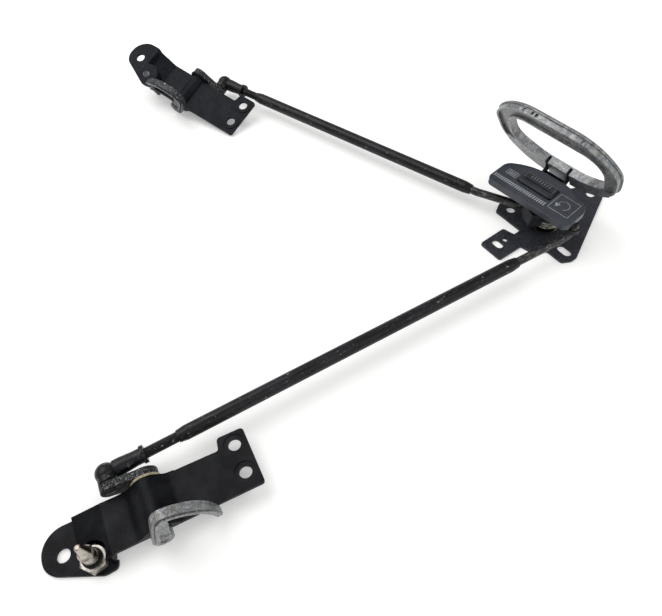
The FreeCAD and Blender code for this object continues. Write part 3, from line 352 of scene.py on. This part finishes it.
# Millimetres, and degrees from the crank's arm about the shaft
hook = {
    "shaftX": 71.0, "shaftZ": 16.0, "face": -20.9,            # the shaft, and the side next to the bracket
    "radius": 39.0, "flare": 3.4, "flareSteps": 18,           # the back, and how far its tip flares out
    "lead": -81.0, "sweep": 97.0, "turnIn": 16.0, "arcSteps": 40,
    "knee": 27.5, "kneeLead": 3.0, "heelPull": (8.5, 9.0), "heelSteps": 14,
    "footIn": 2.2, "footLead": 68.0, "stemSteps": 8,
    "rimThick": 5.2, "rimWide": 7.4, "tipThick": 4.2, "tipWide": 5.4, "growSteps": 30,
    "noseSteps": 3.4, "noseLead": 0.4, "noseLeast": 0.1,      # how fast the tip rounds off
    "grooveStart": 10, "grooveSteps": 14, "grooveLeast": 0.1,
    "webStart": 12.0, "webIn": 1.0, "webWide": 5.6, "webFull": 16, "webSteps": 24, "webLap": 2.0,
    "webFace": 0.8, "web": 5.0, "shelfSteps": 10,
    "shelf": ((31.0, 2.0), (26.0, -2.0), (18.0, -4.0)), "shelfEnd": (1.0, 62.0),
    "boss": 7.8, "bossWide": 6.5, "bossChamfer": 0.9, "bossSides": 40, "edge": 0.4, "sharper": 50}


# The rim's section, outward and bracket-side positive: a groove of the given depth parts its back from the ledge
def rimSection(groove):
    ledge = 0.5 - 0.28 * groove
    floor = -0.42 + 0.08 * groove
    front = 0.5 - 0.44 * groove
    return [(0.5, 0.5), (0.5, -0.42), (ledge, -0.42), (ledge, floor), (front, floor), (front, -0.58),
            (-0.5, -0.58), (-0.5, 0.5)]


# A point of a latch's own frame in the row's frame
def latchPoint(latch, x, y, z):
    yaw, pitch, roll = (math.radians(turn) for turn in latch["turns"])
    turn = Matrix.Rotation(yaw, 3, "Z") @ Matrix.Rotation(pitch, 3, "Y") @ Matrix.Rotation(roll, 3, "X")
    return (Vector(latch["place"]) + turn @ Vector((x, latch["side"] * y, z))) * mm


def polar(radius, degrees):
    return Vector((radius * math.cos(math.radians(degrees)), radius * math.sin(math.radians(degrees))))


def bezier(a, b, c, d, steps):
    return [(1 - t) ** 3 * a + 3 * (1 - t) ** 2 * t * b + 3 * (1 - t) * t ** 2 * c + t ** 3 * d
            for t in (i / steps for i in range(steps + 1))]


# The rim's middle line from the tip to the boss, and the web's outline, in the plane across the shaft
def hookLines():
    back = hook["lead"]
    tip = back - hook["sweep"]
    turnIn = back - hook["turnIn"]
    arc = []
    for i in range(hook["arcSteps"] + 1):
        flare = hook["flare"] * max(0, 1 - i / hook["flareSteps"]) ** 2
        arc.append(polar(hook["radius"] + flare, tip + (turnIn - tip) * i / hook["arcSteps"]))
    foot = polar(hook["boss"] - hook["footIn"], back + hook["footLead"])
    knee = polar(hook["knee"], back + hook["kneeLead"])
    leave, arrive = hook["heelPull"]
    heel = bezier(arc[-1], arc[-1] + leave * polar(1, turnIn + 90),
                  knee + arrive * (knee - foot).normalized(), knee, hook["heelSteps"])
    stem = [knee.lerp(foot, i / hook["stemSteps"]) for i in range(1, hook["stemSteps"] + 1)]

    webTip = tip + hook["webStart"]
    webBack = hook["radius"] - hook["webIn"]
    inner = []
    lip = []
    for i in range(hook["webSteps"] + 1):
        inner.append(polar(webBack, webTip + (turnIn - webTip) * i / hook["webSteps"]))
        wide = hook["webWide"] * math.sin(math.pi / 2 * min(1, i / hook["webFull"]))
        lip.append(polar(webBack - wide, webTip + (turnIn + hook["webLap"] - webTip) * i / hook["webSteps"]))
    sink, lag = hook["shelfEnd"]
    corners = [polar(radius, turnIn + lead) for radius, lead in hook["shelf"]]
    shelf = bezier(*corners, polar(hook["boss"] - sink, back - lag), hook["shelfSteps"])
    return arc + heel[1:] + stem, inner + heel[1:] + stem[:-1] + shelf[::-1] + lip[::-1][1:-1]


# Walls between closed loops of points, and the two faces that close the ends
def addShell(mesh, loops):
    loops = [[mesh.verts.new(point) for point in loop] for loop in loops]
    for a, b in zip(loops, loops[1:]):
        for k in range(len(a)):
            n = (k + 1) % len(a)
            mesh.faces.new((a[k], a[n], b[n], b[k]))
    mesh.faces.new(loops[0])
    mesh.faces.new(loops[-1])


def makeHook(name, latch, body):
    def place(spot, y):
        a = math.radians(latch["crank"])
        x = spot.x * math.cos(a) - spot.y * math.sin(a)
        z = spot.x * math.sin(a) + spot.y * math.cos(a)
        return latchPoint(latch, hook["shaftX"] + x, y, hook["shaftZ"] + z)

    rim, web = hookLines()
    last = len(rim) - 1
    rings = []
    for i, spot in enumerate(rim):
        ahead = (rim[min(i + 1, last)] - rim[max(i - 1, 0)]).normalized()
        out = Vector((ahead.y, -ahead.x))
        grow = min(1.0, i / hook["growSteps"])
        blunt = 1 - (1 - min(1.0, (i + hook["noseLead"]) / hook["noseSteps"])) ** 2
        nose = math.sqrt(max(hook["noseLeast"], blunt))
        thick = (hook["tipThick"] + (hook["rimThick"] - hook["tipThick"]) * grow) * nose
        wide = hook["tipWide"] + (hook["rimWide"] - hook["tipWide"]) * math.sin(grow * math.pi / 2)
        middle = hook["face"] - wide / 2
        groove = min(1, max(hook["grooveLeast"], (i - hook["grooveStart"]) / hook["grooveSteps"]))
        rings.append([place(spot + u * thick * out, middle + v * wide * nose) for u, v in rimSection(groove)])
    face = hook["face"]
    far = face - hook["bossWide"]
    webFace = face - hook["webFace"]
    boss = [polar(1, 360 * k / hook["bossSides"]) for k in range(hook["bossSides"])]
    bossLevels = [(hook["boss"], face), (hook["boss"], far + hook["bossChamfer"]),
                  (hook["boss"] - hook["bossChamfer"], far)]
    mesh = bmesh.new()
    addShell(mesh, rings)
    addShell(mesh, [[place(spot, y) for spot in web] for y in (webFace, webFace - hook["web"])])
    addShell(mesh, [[place(spot * size, y) for spot in boss] for size, y in bossLevels])
    bmesh.ops.recalc_face_normals(mesh, faces=mesh.faces)
    data = bpy.data.meshes.new(name)
    mesh.to_mesh(data)
    mesh.free()
    claw = addPiece(name, data, latch["finish"], body, smooth=True)
    roundEdges(claw, hook["edge"], hook["sharper"])
    return claw


for side, latch in latches.items():
    claw = makeHook(side + "_hook_claw", latch, side + "_crank")
    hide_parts(side + "_hook")
print("hooks made")


# Marks printed on the cover and the button, in the hub's turned frame

hubTurn = 5.5


# A point of a frame turned by the given degrees about the hub's axis
def turnedPoint(degrees, e, n, z):
    a = math.radians(degrees)
    return Vector((e * math.cos(a) - n * math.sin(a), e * math.sin(a) + n * math.cos(a), z)) * mm


# Flat marks from closed outlines in the hub's frame, sunk a little and raised by the ink's thickness
def printedMarks(name, shapes, look, finish, body):
    points = []
    faces = []
    for shape in shapes:
        first = len(points)
        count = len(shape)
        for z in (look["z"] - look["sunk"], look["z"] + look["ink"]):
            points += [turnedPoint(hubTurn, e, n, z) for e, n in shape]
        faces.append(tuple(first + count + i for i in range(count)))
        faces.append(tuple(first + i for i in reversed(range(count))))
        for i in range(count):
            j = (i + 1) % count
            faces.append((first + i, first + j, first + count + j, first + count + i))
    makePiece(name, points, faces, finish, body, smooth=False)


# A straight mark from a to b
def stroke(a, b, width):
    along = Vector((b[0] - a[0], b[1] - a[1])).normalized()
    side = Vector((-along.y, along.x)) * width / 2
    end = along * width / 2
    return [(a[0] - end.x - side.x, a[1] - end.y - side.y), (b[0] + end.x - side.x, b[1] + end.y - side.y),
            (b[0] + end.x + side.x, b[1] + end.y + side.y), (a[0] - end.x + side.x, a[1] - end.y + side.y)]


# Marks from each corner to the next
def lineMarks(corners, width):
    return [stroke(a, b, width) for a, b in zip(corners, corners[1:])]


# Four marks round a rectangle
def frameMarks(low, high, width):
    return lineMarks([low, (high[0], low[1]), high, (low[0], high[1]), low], width)


# Upright bars, each from low to high
def barMarks(places, low, high, width):
    return [stroke((e, low), (e, high), width) for e in places]


coverMarks = {
    "z": 41.0, "ink": 0.04, "sunk": 0.02,
    "frame": ((3.0, -15.6), (24.6, 6.8), 0.45),               # a square frame: low corner, high corner, line
    "arrow": (13.5, -4.6), "arrowRadius": 5.6, "arrowTurn": range(-60, 201, 20), "arrowLine": 0.9,
    "arrowHead": [(5.2, -5.4), (10.6, -5.4), (7.9, -10.4)],
    "bars": [-58.5 + 2.3 * i for i in range(26)], "barEnds": (-17.2, -13.4), "barLine": 1.1,
    "box": ((-53.0, -6.4), (-41.4, 0.4), 0.5),
    "boxBars": (-50.4, -48.2, -46.0, -43.8), "boxBarEnds": (-4.8, -1.2), "boxBarLine": 0.9}
# A plain turning arrow in a square frame, an even row of bars along the front, and a small outlined box with bars
arrow = [(coverMarks["arrow"][0] + coverMarks["arrowRadius"] * math.cos(math.radians(a)),
          coverMarks["arrow"][1] + coverMarks["arrowRadius"] * math.sin(math.radians(a)))
         for a in coverMarks["arrowTurn"]]
marks = frameMarks(*coverMarks["frame"]) + lineMarks(arrow, coverMarks["arrowLine"]) + [coverMarks["arrowHead"]]
marks += barMarks(coverMarks["bars"], *coverMarks["barEnds"], coverMarks["barLine"])
marks += frameMarks(*coverMarks["box"])
marks += barMarks(coverMarks["boxBars"], *coverMarks["boxBarEnds"], coverMarks["boxBarLine"])
printedMarks("cover_marks", marks, coverMarks, "printGrey", "hub")

# Faint even bars on the button's top, under a line that runs round three of its sides
buttonMarks = {
    "z": 44.0, "ink": 0.04, "sunk": 0.02,
    "bars": [-29.0 + 2.9 * i for i in range(8)], "barEnds": (1.8, 4.8), "barLine": 0.9,
    "border": [(-35.5, -1.4), (-35.5, 6.6), (-2.5, 6.6), (-2.5, -1.4)], "borderLine": 0.35}
marks = barMarks(buttonMarks["bars"], *buttonMarks["barEnds"], buttonMarks["barLine"])
marks += lineMarks(buttonMarks["border"], buttonMarks["borderLine"])
printedMarks("button_marks", marks, buttonMarks, "faintPrint", "button")

# The hinge bracket's web, a bent sheet between the ears behind the cover
hingeWeb = {"turn": 4.6, "left": -32.6, "right": -6.4, "sheet": 1.6,
            "bend": [(22.4, 32.4), (25.6, 33.3), (28.4, 33.9), (31.0, 34.0)]}
section = hingeWeb["bend"] + [(n, z - hingeWeb["sheet"]) for n, z in reversed(hingeWeb["bend"])]
points = [turnedPoint(hingeWeb["turn"], e, n, z) for e in (hingeWeb["left"], hingeWeb["right"]) for n, z in section]
makePiece("hinge_web", points, ringFaces(2, len(section)), "satinBlackPaint", "hub", smooth=False)
print("marks and hinge web made")


# Camera at the photograph's viewpoint; its lens is a 600 px focal length over the 662 px frame

view = {"sensor": 36, "lens": 32.63, "place": (0.216002, -0.404302, 0.450826),
        "right": (0.593730, 0.803839, -0.036441), "up": (-0.644279, 0.502032, 0.576948),
        "back": (0.482067, -0.319073, 0.815968)}
cameraData = bpy.data.cameras.new("camera")
cameraData.sensor_width = view["sensor"]
cameraData.lens = view["lens"]
camera = bpy.data.objects.new("camera", cameraData)
bpy.context.collection.objects.link(camera)
turn = Matrix([view["right"], view["up"], view["back"]]).transposed().to_4x4()
camera.matrix_world = Matrix.Translation(view["place"]) @ turn
bpy.context.scene.camera = camera


# Pale floor and soft light

stage = {"floorColour": "#f2f2f1", "floorSize": 6.0, "floorDrop": 0.0002, "floorGlow": 0.30,
         "worldColour": "#ffffff", "worldLight": 0.55, "lightTarget": (-0.15, -0.22, 0.0)}
lights = {"key": dict(power=16, size=1.4, place=(-0.9, -0.6, 1.5)),
          "fill": dict(power=7, size=1.6, place=(1.3, 0.2, 1.3))}


def makeFloor():
    half = stage["floorSize"] / 2
    mesh = bpy.data.meshes.new("floor")
    mesh.from_pydata([(x * half, y * half, -stage["floorDrop"]) for x, y in ((-1, -1), (1, -1), (1, 1), (-1, 1))],
                     [], [(0, 1, 2, 3)])
    floor = bpy.data.objects.new("floor", mesh)
    bpy.context.collection.objects.link(floor)
    material = bpy.data.materials.new("paleFloor")
    material.use_nodes = True
    tree = material.node_tree
    tree.nodes.clear()
    colour = toLinear(stage["floorColour"])
    diffuse = addNode(tree, "ShaderNodeBsdfDiffuse", inputs={"Color": colour})
    rays = addNode(tree, "ShaderNodeLightPath").outputs
    seen = addNode(tree, "ShaderNodeMath", {"operation": "MAXIMUM"}, {
        0: rays["Is Camera Ray"], 1: rays["Is Glossy Ray"]})
    seen = addNode(tree, "ShaderNodeMath", {"operation": "MAXIMUM"}, {
        0: seen.outputs[0], 1: rays["Is Transmission Ray"]})
    strength = addNode(tree, "ShaderNodeMath", {"operation": "MULTIPLY"}, {
        0: seen.outputs[0], 1: stage["floorGlow"]})
    glow = addNode(tree, "ShaderNodeEmission", inputs={"Color": colour, "Strength": strength.outputs[0]})
    both = addNode(tree, "ShaderNodeAddShader", inputs={0: diffuse.outputs[0], 1: glow.outputs[0]})
    addNode(tree, "ShaderNodeOutputMaterial", inputs={"Surface": both.outputs[0]})
    mesh.materials.append(material)


def makeLight(name, power, size, place):
    data = bpy.data.lights.new(name, "AREA")
    data.energy = power
    data.size = size
    light = bpy.data.objects.new(name, data)
    light.location = place
    aim = Vector(stage["lightTarget"]) - Vector(place)
    light.rotation_euler = aim.to_track_quat("-Z", "Y").to_euler()
    bpy.context.collection.objects.link(light)


makeFloor()
for name, look in lights.items():
    makeLight(name, **look)
world = bpy.data.worlds.new("studio")
world.use_nodes = True
background = world.node_tree.nodes["Background"]
background.inputs["Color"].default_value = toLinear(stage["worldColour"])
background.inputs["Strength"].default_value = stage["worldLight"]
bpy.context.scene.world = world
bpy.context.scene.view_settings.view_transform = "Standard"
print("camera, floor and lights placed")
